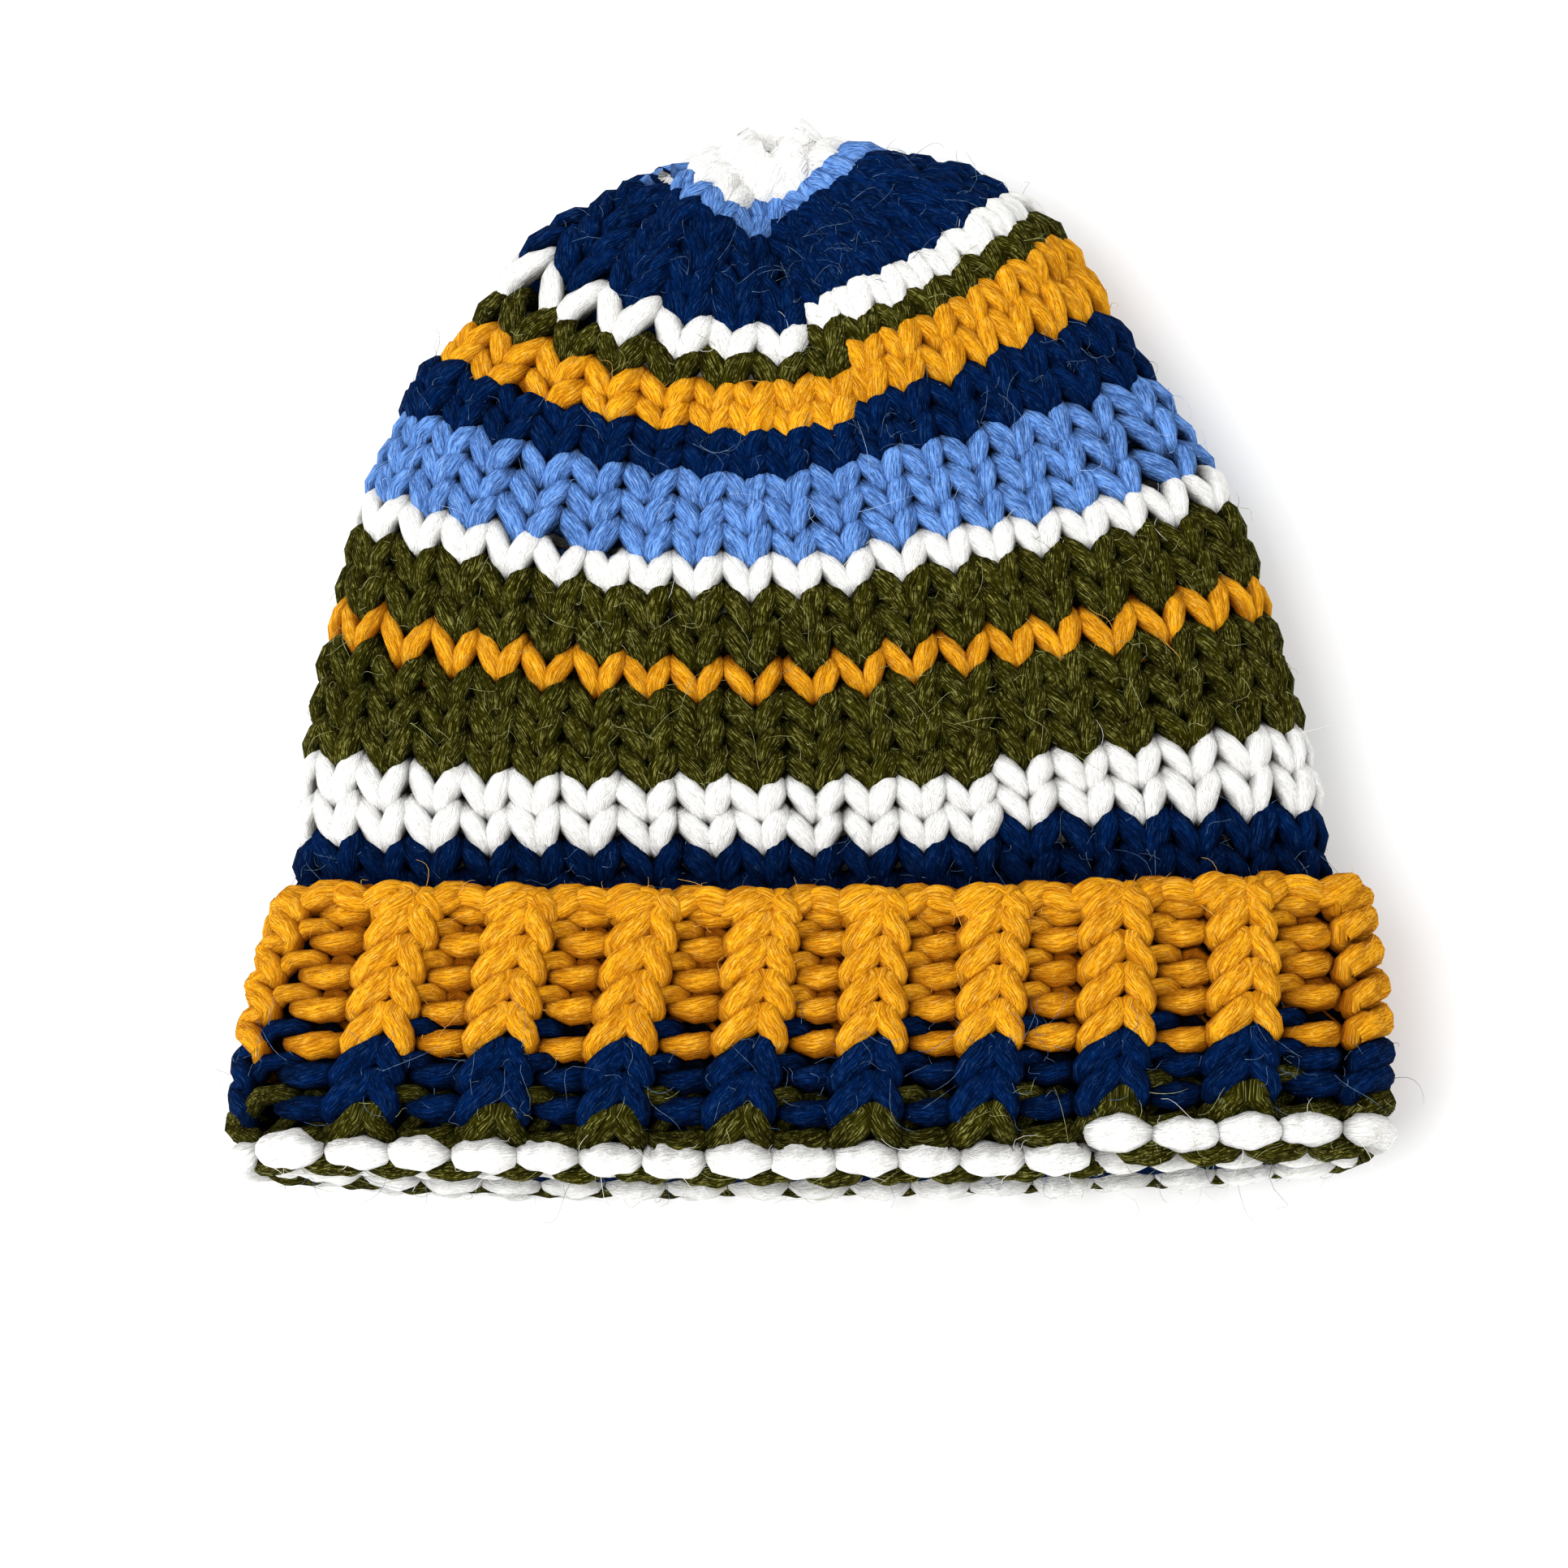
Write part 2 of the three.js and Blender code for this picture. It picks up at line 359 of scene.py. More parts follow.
# Millimetres:
LOOP_DEPTH = 2.3  # how far the legs stand out, and the head and feet lie back
LOOP_LAP = 1.0  # how much the feet are brought forward and the head back
# Shares of YARN, for the yarn's radius:
LOOP_THIN = 0.70  # where it is thinnest
LOOP_LEGS = (0.42, 0.34)  # how much is added in the two legs
LOOP_BEHIND = 0.34  # and in the head and feet
HEAD_SPREAD = 0.6  # how long the plump stretches are, in t
FEET_SPREAD = 0.5
GATHERED = ((0.3, 43.6, 44.4), (0.95, 44.4, 45.1))  # how much plumper it gets over these courses of the tip
STRAYS = (0.06, 0.15, 0.45, 0.09)  # how uneven stitches are across, up, out and in their plumpness

# Stitches that were worked looser: the share and course of the middle one, how many stitches around it,
# how much thicker they are, how far they stand out and how far a leg hangs below its round.
LOOSE_STITCHES = [
    (0.745, 33.4, 0.95, 0.5, 5.5, 0.0),
    (0.365, 34.4, 0.6, 0.15, 1.2, 1.5),
    (0.53, 34.6, 0.6, 0.15, 0.8, 0.35),
    (0.485, 34.2, 1.2, 0.08, 0.6, 1.0),
    (0.35, 26.4, 0.8, 0.1, 0.5, 0.2),
]
HANG_SPREAD = 0.9  # how much of a leg hangs, in t


def helix_course(rounds, place, count, t):
    """The course of a stitch's middle, and what it would be with no easing. Rounds climb in a helix, and
    where one ends above its own start the step is eased by an exponential on each side."""
    done = (place + t / TURN) / count
    past = np.mod(done - np.interp(rounds, JOIN_ROUNDS, JOIN_PAST) / count, 1)
    step = np.exp(-past / EASE_LENGTH) - np.exp(-(1 - past) / EASE_LENGTH)
    return rounds + done + np.interp(rounds, EASE_ROUNDS, SEAM_EASE) * step + 0.5, rounds + done + 0.5


def body_loops(first, last, size, steps=STEPS):
    """The yarn's middle line, how far it lies off the fabric's middle and its radius over plain stitches.
    Along a stitch t goes once round: across its width it runs evenly plus a sine of 2t, up and down as
    minus the cosine of t, and in and out as minus the cosine of 2t, so that legs are in front and head and
    feet behind. A cosine of t lays the feet in front of the head of the stitch below. Bell curves in t
    plump the yarn in its legs and behind, and others round each loose stitch plump, lift and drop it."""
    pick = slice(first, last)
    t = along_stitch(steps)
    rounds, place, count = stitches_in(pick)
    aside, upward, outward, leg, other_leg = unevenness(pick)
    stray_aside, stray_up, stray_out, stray_plump = STRAYS
    head = (1 - np.cos(t)) / 2
    across = t / TURN + LOOP_OPEN * np.sin(2 * t) + LOOP_LEAN * np.cos(t) + stray_aside * aside * head
    middle, level = helix_course(rounds, place, count, t)
    tall = LOOP_TALL + CROWN_STRETCH * smooth(rounds, *STRETCH_ROUNDS)
    course = middle - tall / 2 * np.cos(t) + stray_up * upward * head
    left, width = LEFT_OF[pick, None], WIDTH_OF[pick, None]
    share = left + width * across
    share = share + wander(share, course)
    height = -LOOP_DEPTH * np.cos(2 * t) + LOOP_LAP * np.cos(t) + stray_out * outward * head
    legs = (bell(t, TURN / 4) * (LOOP_LEGS[0] + stray_plump * leg)
            + bell(t, TURN * 3 / 4) * (LOOP_LEGS[1] + stray_plump * other_leg))
    behind = bell(t, np.pi, HEAD_SPREAD) + bell(t, 0, FEET_SPREAD) + bell(t, TURN, FEET_SPREAD)
    gathered = sum((more * smooth(course, start, end) for more, start, end in GATHERED), 1)
    radius = YARN * size * gathered * (LOOP_THIN + legs + LOOP_BEHIND * behind)
    for at_share, at_course, spread, thicker, out, hang in LOOSE_STITCHES:
        to_loose = (np.mod(left + width / 2 - at_share + 0.5, 1) - 0.5) * count
        loose = np.exp(-(to_loose**2 + (level - at_course) ** 2) / spread**2)
        radius = radius * (1 + thicker * loose)
        height = height + out * loose * head
        course = course - hang * loose * bell(t, TURN, HANG_SPREAD)
    return share, course, height, radius


# ---------------------------------------------------------------- the cuff's rib
# In pairs, for a raised column and for the sunk one beside it. The first four are as in a plain stitch.
RIB_LEAN = (0.05, -0.03)
RIB_OPEN = (0.265, 0.30)
RIB_TALL = (1.66, 1.8)
RIB_DEPTH = (2.4, 2.2)
RIB_DROP = (0.06, -0.36)  # how far a stitch lies towards the hem, in rounds
RIB_WIDER = (0.07, -0.07)  # how much wider a column is than the average, as a share of a stitch
FOOT_START = (-0.8, 1.4)  # how far in a foot lies where the yarn comes into it
FOOT_RUN = (2.2, -2.2)  # and how much further where it leaves
HEM_DIP = (3.6, 0.4)  # how far the last round dips behind the bumps

RIB_STANDS = 1.3  # how much further out the columns stand than the feet
RIB_BOW = 0.07  # how far the middle of a raised stitch is drawn to one side
RIB_FEET = 0.3  # how far feet are drawn towards the hem, in rounds
FOOT_SHARPNESS = 0.6  # the lower, the shorter feet are
CROSS_IN = 1.5  # how far in the legs of raised columns lie where they cross
CROSS_SPREAD = 0.45
RIB_STRAYS = (0.05, 0.12, 0.4, 0.08)  # as STRAYS
RIB_WANDER = 0.6  # how much the columns bend, by WANDER
FIRST_RIB = (0.42, 0.68)  # where the first round of rib begins, and how tall it is by the others
DRAWN = 0.0026  # how much the rib's columns are drawn towards the middle of the top
BIAS = 0.006  # how far the rib's columns drift round the hat from hem to edge

# Shares of YARN, for the yarn's radius.
RIB_THIN = 0.64  # where it is thinnest
RIB_LEGS = (0.62, 0.46)  # how much is added in the two legs of raised columns
RIB_LEG_SPREAD = 0.95
RIB_CROSSING = 0.2  # where they cross
RIB_TAIL = 0.12  # where the yarn leaves them
SUNK_HEAD = 0.56  # in the heads of sunk columns
SUNK_HEAD_AT, SUNK_HEAD_SPREAD = TURN * 0.53, 0.62
SUNK_FOOT = 0.22  # and in their feet
SUNK_FOOT_AT, SUNK_FOOT_SPREAD = 0.15, 0.6

HEM_TOP = 7.93  # the course of the first row of bumps round the hem
HEM_SPACING = 0.74  # and the courses from one row to the next
HEM_LIFT = 0.4  # how far the rib's last rounds rise past the step of that row, in courses
LIFT_STARTS = (-0.012, 0.012)  # where that sets in, in shares of the way round past the step
LIFT_ENDS = (0.25, 0.45)  # and dies out
LIFT_COURSES = (4.5, 7.5)  # the courses over which it grows
DIP_COURSES = (-1.2, -0.6)  # and those over which the dip does, counted past the bumps


def rib_loops(first, last, size):
    """Rib is worked the other way round and upside down on the cuff. Raised columns have their legs in
    front, one plump and one small, both well slanted and sunk where they cross, and their middle drawn to
    one side by a sine. The columns between have lens-shaped heads in front, pointed at one end, with a
    foot beside them. The rounds lie level, each stepping to the next in its last stitch. The last ones
    follow the step in the hem, and the very last dips behind the bumps there."""
    pick = slice(first, last)
    t = along_stitch(STEPS)
    rounds, place, count = stitches_in(pick)
    aside, upward, outward, leg, other_leg = unevenness(pick)
    stray_aside, stray_up, stray_out, stray_plump = RIB_STRAYS
    raised = place % 2 == 0
    lean, opened, tall, depth, drop, wider, foot_start, foot_run, dip = (np.where(raised, *pair) for pair in (
        RIB_LEAN, RIB_OPEN, RIB_TALL, RIB_DEPTH, RIB_DROP, RIB_WIDER, FOOT_START, FOOT_RUN, HEM_DIP))
    head = (1 - np.cos(t)) / 2
    turned = np.abs(np.sin(t / 2)) ** FOOT_SHARPNESS

    across = t / TURN + opened * np.sin(2 * t) + lean * np.cos(t) + stray_aside * aside * head
    across = across + np.where(raised, RIB_BOW * np.sin(np.pi * np.clip(across, 0, 1)), 0)
    step = np.clip(place + t / TURN - (count - 1), 0, 1)
    course = rounds + drop + smooth(step, 0, 1) + 0.5 - tall / 2 * np.cos(t) + RIB_FEET * (1 - turned)
    course = course + stray_up * upward * head
    course = np.where(rounds == 0, FIRST_RIB[0] + course * FIRST_RIB[1], course)
    share = CUFF_SEAM - (place - wider / 2) / count - (1 + wider) / count * across - BIAS * cuff_share(course)
    share = share + wander(share, course) * RIB_WANDER - DRAWN * np.sin(2 * TURN * share)
    past_step = np.mod(HEM_SEAM - share + 0.5, 1) - 0.5
    lifted = smooth(past_step, *LIFT_STARTS) * (1 - smooth(past_step, *LIFT_ENDS))
    course = course - HEM_LIFT * lifted * smooth(course, *LIFT_COURSES)

    foot = foot_start + foot_run * t / TURN
    stands = turned * (-depth * np.cos(2 * t) + RIB_STANDS)
    crossing = bell(t, TURN / 8, CROSS_SPREAD) + bell(t, TURN * 7 / 8, CROSS_SPREAD)
    height = np.where(raised, -stands, stands) - foot * (1 - turned)
    height = height - stray_out * outward * head - np.where(raised, CROSS_IN * crossing, 0)
    past_hem = course - hem_course(share)
    height = height + np.where(rounds == RIB_ROUNDS - 1, dip * smooth(past_hem, *DIP_COURSES), 0)

    legs = (RIB_CROSSING * crossing
            + bell(t, TURN / 4, RIB_LEG_SPREAD) * (RIB_LEGS[0] + stray_plump * leg)
            + bell(t, TURN * 3 / 4, RIB_LEG_SPREAD) * (RIB_LEGS[1] + stray_plump * other_leg)
            + bell(t, TURN) * RIB_TAIL)
    lens = (bell(t, SUNK_HEAD_AT, SUNK_HEAD_SPREAD) * (SUNK_HEAD + stray_plump * leg)
            + bell(t, SUNK_FOOT_AT, SUNK_FOOT_SPREAD) * SUNK_FOOT)
    radius = YARN * size * (RIB_THIN + np.where(raised, legs, lens))
    return share, course, height, radius


def hem_course(share):
    """The course of the first row of bumps, which climbs by HEM_SPACING on its way round."""
    return HEM_TOP + HEM_SPACING * np.mod(HEM_SEAM - share, 1)


# ---------------------------------------------------------------- the hem's bumps and the cast-on edge
BUMP_POWER, BUMP_ROOT = 3.4, 0.42  # the powers of a bump's superellipse
BUMP_LENGTH, BUMP_UNEVEN = 0.49, 0.1  # how long it is, and how uneven
BUMP_LUMPS = 0.07
BUMP_THIN = 0.3  # the yarn's radius between bumps, as a share of YARN
BUMP_DIP = 3.5  # how far in it lies there
BUMP_STRAYS = (0.06, 0.07, 0.25, 0.14)  # as STRAYS


def hem_bumps(row, past, plump, proud, tucked):
    """The backs of plain stitches, which show as a string of bumps round the hem: the yarn runs evenly
    along, swells into a superellipse in each stitch, with a lump or two by a cosine, and dips in between.
    past is the share of a stitch by which the bumps are moved along, plump how much thicker they are than
    the yarn, and proud how far they stand out, less tucked under the hat, as a cosine of the way round."""
    count = STITCHES[0]
    place = np.arange(count)[:, None]
    t = even_steps()
    aside, upward, outward, plumper = rng.uniform(-1, 1, (count, 4)).T[:, :, None]
    stray_aside, stray_up, stray_out, stray_plump = BUMP_STRAYS
    from_middle = np.abs(t / np.pi - 1) ** BUMP_POWER
    swell = np.maximum(1 - from_middle / (BUMP_LENGTH + BUMP_UNEVEN * aside), 0) ** BUMP_ROOT
    share = HEM_SEAM - (place + past + t / TURN + stray_aside * aside * swell) / count
    course = HEM_TOP + HEM_SPACING * (row + (place + t / TURN) / count) + stray_up * upward * swell
    proud = proud - tucked * (1 + np.cos(TURN * share)) / 2
    height = -(proud - BUMP_DIP * (1 - swell) ** 3) - stray_out * outward * swell
    lump = 1 + BUMP_LUMPS * np.cos(2 * t + 2 * upward)
    radius = YARN * (BUMP_THIN + (plump * lump - BUMP_THIN + stray_plump * plumper) * swell)
    return share, course, height, radius


EDGE_COURSE = 0.56  # where the cast-on edge lies
EDGE_PAST = 0.3  # how far along its stitch it begins
EDGE_RISE = 0.22  # how far its strands wind across it, in courses
EDGE_REACH = 1.3  # how far they wind through it
EDGE_OUT = 1.2  # how far it stands off the fabric's middle
EDGE_SHAPE = (0.98, 0.24)  # its radius as a share of YARN, and how much plumper in front
EDGE_OVER_RIB = (0.06, 0.5, 0.07)  # over raised columns: how far up and out, and how much plumper
EDGE_STRAYS = (0.12, 0.25, 0.1)  # how uneven it is up, out and in its plumpness


def cast_on(strand):
    """The cast-on edge: two strands that wind round it in opposite senses, one turn to a stitch, so that
    their leaves slant to and fro. The way round is t, the way across the edge a cosine of t and the way
    in and out a sine, half a turn apart in the two strands. A cosine lifts it over raised columns."""
    count = STITCHES[0]
    t = even_steps()
    _, upward, outward, plumper, _ = unevenness(slice(strand * count, (strand + 1) * count))
    stray_up, stray_out, stray_plump = EDGE_STRAYS
    rib_up, rib_out, rib_plump = EDGE_OVER_RIB
    turn = t + strand * np.pi
    mid_stitch = np.sin(t / 2)
    along = np.arange(count)[:, None] + EDGE_PAST + t / TURN
    over_rib = np.cos(np.pi * along)
    winding = EDGE_RISE * np.cos(turn) * (1 if strand else -1)
    course = EDGE_COURSE + winding + stray_up * upward * mid_stitch - rib_up * over_rib
    share = CUFF_SEAM - along / count - BIAS * cuff_share(course)
    share = share - DRAWN * np.sin(2 * TURN * share)
    height = -(EDGE_OUT + rib_out * over_rib + EDGE_REACH * np.sin(turn)) - stray_out * outward * mid_stitch
    radius = YARN * (EDGE_SHAPE[0] + rib_plump * over_rib + EDGE_SHAPE[1] * np.sin(turn)
                     + stray_plump * plumper * mid_stitch)
    return share, course, height, radius


# ---------------------------------------------------------------- yarn
DEPTH_SHADE_RANGE = (0.8, 3.8)  # the painted shade of the fabric's depth: how far off its middle the yarn comes out of it
FACING_SHADE_RANGE = (0.0, 0.78)  # and how squarely it faces out, as a cosine, for the same painted shade
LOBE_SWELL = 1.03  # how far the plies bulge past the yarn's radius
LOBE_ROUNDNESS = 1.5
FLOOR_GAP = 0.05


def tube(share, course, height, radius, sides=SIDES):
    """A closed tube of plied yarn: a three-lobed ring at each point, square to the way the yarn runs and
    turned by the twist, with a flat cap at each end. yarn is the cosine and sine of each vertex's way
    round the fibres, and the length along. shade is how far it is out of the grooves, how far it is out
    of the fabric's depth and turned away from it, both for painted shade, with the cut ends kept out of
    that painted shade, and a tone for each stitch. outness is how far it lies in front of the fabric."""
    surface, normals = on_fabric(share.ravel(), course.ravel())
    points = surface + normals * height.reshape(-1, 1)
    radius = radius.ravel()
    tone = np.repeat(rng.uniform(0, 1, len(share)), share.shape[1])
    ahead = unit(np.gradient(points, axis=0))
    across = unit(np.cross(ahead, normals))
    up = np.cross(across, ahead)
    walked = np.concatenate([[0], np.cumsum(np.linalg.norm(np.diff(points, axis=0), axis=1))])
    on_ply = np.arange(sides) / sides * TURN
    twist = -TURN / PLY_LENGTH * walked[:, None]
    around = on_ply + twist
    crest = (1 - np.cos(PLIES * on_ply)) / 2
    lobe = LOBE_SWELL - PLY_RELIEF * (1 - crest) ** LOBE_ROUNDNESS
    ring = np.cos(around)[..., None] * up[:, None] + np.sin(around)[..., None] * across[:, None]
    off = ring * (radius[:, None] * lobe)[..., None]
    vertices = points[:, None] + off
    raised = np.einsum("ijk,ik->ij", off, normals)
    outness = height.reshape(-1, 1) + raised
    turned_out = raised / np.linalg.norm(off, axis=-1) * np.sign(outness)
    # Painted shade: darker where the yarn lies deep in the fabric or faces into it.
    unshaded = smooth(np.abs(outness), *DEPTH_SHADE_RANGE) * smooth(turned_out, *FACING_SHADE_RANGE)
    # The cut ends are kept out of the painted shade.
    unshaded[[0, -1]] = 1
    on_fibre = on_ply + FIBRE_TURN * twist
    yarn = np.stack(np.broadcast_arrays(np.cos(on_fibre), np.sin(on_fibre), walked[:, None]), axis=-1)
    shade = np.stack(np.broadcast_arrays(crest[None], unshaded, tone[:, None]), axis=-1)
    i = np.arange(len(points) - 1)[:, None] * sides
    j, k = np.arange(sides)[None], (np.arange(sides)[None] + 1) % sides
    quads = np.stack([i + j, i + k, i + sides + k, i + sides + j], axis=-1).reshape(-1, 4)
    last = (len(points) - 1) * sides
    caps = np.array([np.arange(sides)[::-1], last + np.arange(sides)])
    return {"vertices": vertices.reshape(-1, 3), "quads": quads, "caps": caps, "yarn": yarn.reshape(-1, 3),
            "shade": shade.reshape(-1, 3), "outness": outness.ravel(),
            "facing": np.repeat(normals, sides, axis=0), "course": np.repeat(course.ravel(), sides)}


def joined(parts):
    """Several tubes as one set of arrays."""
    start = np.cumsum([0] + [len(p["vertices"]) for p in parts[:-1]])
    whole = {key: np.concatenate([p[key] for p in parts]) for key in parts[0]}
    for key in ("quads", "caps"):
        whole[key] = np.concatenate([p[key] + s for p, s in zip(parts, start)])
    return whole


def mesh_piece(name, parts, material):
    """A mesh of quads, shaded smooth, and flat caps, lifted off the floor where yarn would dip into it."""
    vertices = parts["vertices"].copy()
    vertices[:, 2] = np.maximum(vertices[:, 2], FLOOR_GAP)
    mesh = bpy.data.meshes.new(name)
    mesh.from_pydata((vertices * MM).tolist(), [], parts["quads"].tolist() + parts["caps"].tolist())
    for label in ("yarn", "shade"):
        attribute = mesh.attributes.new(label, "FLOAT_VECTOR", "POINT")
        attribute.data.foreach_set("vector", parts[label].ravel())
    mesh.polygons.foreach_set("use_smooth", np.arange(len(mesh.polygons)) < len(parts["quads"]))
    mesh.materials.append(material)
    piece = bpy.data.objects.new(name, mesh)
    bpy.context.collection.objects.link(piece)
    return piece


# Loose fibres, or hairs.
HAIR = 0.065  # a hair's radius at its root
HAIR_THINS = 0.6  # and how much of that it loses to its tip
HAIR_POINTS = 7
HAIR_SIDES = 3
HAIR_LENGTHS = (2.0, 3.2, 14.0)  # the shortest, how much longer on average, and the longest
# The least and most: how steeply they rise, how much of that they lose again, how wide their curl is by
# their length, and its turns.
HAIR_LIFT = (0.1, 0.8)
HAIR_BEND = (0.6, 1.2)
HAIR_CURL = (0.08, 0.34)
HAIR_TURNS = (0.25, 0.95)
CURL_FLATNESS = 0.6
HAIR_ROOTS = 1.5  # hairs start on yarn that stands this far out
COVERED = 17.5  # the courses of the body up to here lie under the cuff


def flyaway(parts, side, per_stitch, long):
    """Loose fibres that stand off the yarn. Each starts at one of its vertices on this side of the fabric
    and runs out along its own slanted line, with a parabola that bends it back and a small coil that curls
    it, as a three-sided tube that thins out to its tip. Longer ones are rarer, as an exponential."""
    on_cuff = side < 0
    seen = (parts["outness"] * side > HAIR_ROOTS) & (on_cuff | (parts["course"] > COVERED))
    count = int(per_stitch * seen.sum() / (SIDES * STEPS))
    chosen = np.flatnonzero(seen)[rng.integers(0, seen.sum(), count)]
    root, outward = parts["vertices"][chosen], parts["facing"][chosen] * side
    sideways = unit(np.cross(outward, rng.normal(size=(count, 3))))
    third = np.cross(outward, sideways)
    shortest, longer, longest = HAIR_LENGTHS
    length = long * np.minimum(shortest + rng.exponential(longer, count), longest)[:, None, None]
    lift, bend, curl = (rng.uniform(*span, (count, 1, 1)) for span in (HAIR_LIFT, HAIR_BEND, HAIR_CURL))
    phase = rng.uniform(0, TURN, (count, 1, 1))
    turns = rng.uniform(*HAIR_TURNS, (count, 1, 1))
    s = np.linspace(0, 1, HAIR_POINTS)[None, :, None]
    out, across, up = outward[:, None], sideways[:, None], third[:, None]
    coil = turns * TURN * s + phase
    way = (across * s + out * lift * (s - bend * s**2) + up * curl * (np.sin(coil) - np.sin(phase))
           + out * CURL_FLATNESS * curl * (np.cos(coil) - np.cos(phase)))
    middle = root[:, None] + length * way
    ahead = unit(np.gradient(middle, axis=1))
    first = unit(np.cross(ahead, out + 0.1 * across))
    second = np.cross(ahead, first)
    corner = np.arange(HAIR_SIDES) / HAIR_SIDES * TURN
    ring = np.cos(corner)[:, None] * first[:, :, None] + np.sin(corner)[:, None] * second[:, :, None]
    hairs = middle[:, :, None] + ring * (HAIR * (1 - HAIR_THINS * s))[..., None]
    start = np.arange(count)[:, None, None] * HAIR_POINTS * HAIR_SIDES
    i = np.arange(HAIR_POINTS - 1)[None, :, None] * HAIR_SIDES + start
    j, k = np.arange(HAIR_SIDES), (np.arange(HAIR_SIDES) + 1) % HAIR_SIDES
    quads = np.stack([i + j, i + k, i + HAIR_SIDES + k, i + HAIR_SIDES + j], axis=-1)
    root_end, tip = start[:, 0], start[:, 0] + (HAIR_POINTS - 1) * HAIR_SIDES
    caps = np.concatenate([root_end + j[::-1], tip + j])
    yarn = np.stack(np.broadcast_arrays(np.cos(corner), np.sin(corner), length * s), axis=-1)
    # Loose fibres get none of the painted shade.
    shade = np.ones((count * HAIR_POINTS * HAIR_SIDES, 3))
    return {"vertices": hairs.reshape(-1, 3), "quads": quads.reshape(-1, 4), "caps": caps,
            "yarn": yarn.reshape(-1, 3), "shade": shade}


# ---------------------------------------------------------------- materials
class Value:
    """A socket that takes part in sums: each operator adds a Math node."""

    def __init__(self, nodes, socket):
        self.nodes = nodes
        self.socket = socket

    def math(self, operation, first, second):
        return self.nodes.add("ShaderNodeMath", {"operation": operation}, {0: first, 1: second})

    def __add__(self, other):
        return self.math("ADD", self, other)

    def __radd__(self, other):
        return self.math("ADD", other, self)

    def __mul__(self, other):
        return self.math("MULTIPLY", self, other)

    def __rmul__(self, other):
        return self.math("MULTIPLY", other, self)


class Nodes:
    """A material's nodes. add() takes a node's type, its settings and the values or links of its sockets."""

    def __init__(self, name):
        self.material = bpy.data.materials.new(name)
        self.material.use_nodes = True
        self.tree = self.material.node_tree
        self.tree.nodes.clear()

    def add(self, kind, settings=None, inputs=None, output=0):
        node = self.tree.nodes.new(kind)
        for name, value in (settings or {}).items():
            setattr(node, name, value)
        for name, value in (inputs or {}).items():
            if isinstance(value, Value):
                self.tree.links.new(value.socket, node.inputs[name])
            else:
                node.inputs[name].default_value = value
        return Value(self, node.outputs[output]) if node.outputs else None

    def attribute(self, name):
        return self.add("ShaderNodeAttribute", {"attribute_name": name}, output="Vector")

    def parts(self, vector):
        split = self.add("ShaderNodeSeparateXYZ", None, {0: vector}).socket.node
        return [Value(self, output) for output in split.outputs]

    def noise(self, vector, scale, detail, roughness=0.5):
        return self.add("ShaderNodeTexNoise", None, {
            "Vector": vector, "Scale": scale, "Detail": detail, "Roughness": roughness})

    def step(self, value, low, high):
        return self.add("ShaderNodeMapRange", {"interpolation_type": "SMOOTHSTEP"},
                        {0: value, 1: low, 2: high, 3: 0.0, 4: 1.0})

    def mix(self, factor, first, second):
        return self.add("ShaderNodeMix", {"data_type": "RGBA"}, {0: factor, 6: first, 7: second}, output=2)

    def finished(self, colour, roughness, more=None):
        """The material itself, with a shader of this colour and roughness and more of its sockets set."""
        sockets = {"Base Color": colour, "Roughness": roughness, **(more or {})}
        shader = self.add("ShaderNodeBsdfPrincipled", None, sockets)
        self.add("ShaderNodeOutputMaterial", None, {0: shader})
        return self.material


FIBRE_STRETCH = 0.045  # how much the noise of the fibres is drawn out along the yarn
FIBRE_RELIEF = 0.0011  # in metres


def wool(name, gap, deep, body, pale, flecks):
    """Plied wool. The fibres are a noise drawn out along the yarn: its low values darken the colour, and
    the high values of a finer one, broken up by a third, are pale flecks, dimmed in painted shade. The
    colour falls to deep as painted shade in the grooves between plies and to gap as painted shade in the
    depth of the fabric, and each stitch has its own tone."""
    n = Nodes(name)
    yarn, shade = n.attribute("yarn"), n.attribute("shade")
    a, b, s = n.parts(yarn)
    crest, unshaded, tone = n.parts(shade)
    drawn = n.add("ShaderNodeCombineXYZ", None, {0: a, 1: b, 2: s * FIBRE_STRETCH})
    fibre = n.noise(drawn, 6.5, 3.0, 0.62)
    fine = n.noise(drawn, 13.0, 2.0, 0.6)
    broken = n.noise(yarn, 1.5, 2.0)
    streak = n.step(fibre, 0.36, 0.6)
    hair = n.step(fine, 0.52, 0.64)
    dark = n.step(fine, 0.36, 0.48)
    out_of_groove_shade = n.step(crest, 0.0, 0.5)
    # Painted shade in the grooves between plies, with a random tone for each stitch and the fibres' streaks.
    lit = (0.6 + out_of_groove_shade * 0.4) * (0.85 + tone * 0.15) * (0.45 + streak * 0.55) * (0.45 + dark * 0.55)
    # Painted shade in the depth of the fabric, falling to gap.
    ground = n.mix(unshaded, gap, n.mix(lit, deep, body))
    # Pale flecks are dimmed in that painted shade.
    fleck = hair * n.step(broken, 0.34, 0.56) * flecks * (0.15 + unshaded * 0.85)
    height = fibre * 0.6 + fine * 0.4
    bump = n.add("ShaderNodeBump", None, {"Strength": 1.0, "Distance": FIBRE_RELIEF, "Height": height})
    return n.finished(n.mix(fleck, ground, pale), 0.95, {"Normal": bump, "Specular IOR Level": 0.02})


def loose_fibre(name, first, second):
    """A single fibre's colour wanders between two tones along it."""
    n = Nodes(name)
    tone = n.step(n.noise(n.attribute("yarn"), 0.8, 1.0), 0.35, 0.65)
    return n.finished(n.mix(tone, first, second), 0.8, {"Specular IOR Level": 0.1})


def srgb(red, green, blue):
    """A colour as a painter names it, 0 to 255, made linear."""
    c = np.array([red, green, blue]) / 255
    return (*np.where(c <= 0.04045, c / 12.92, ((c + 0.055) / 1.055) ** 2.4), 1.0)
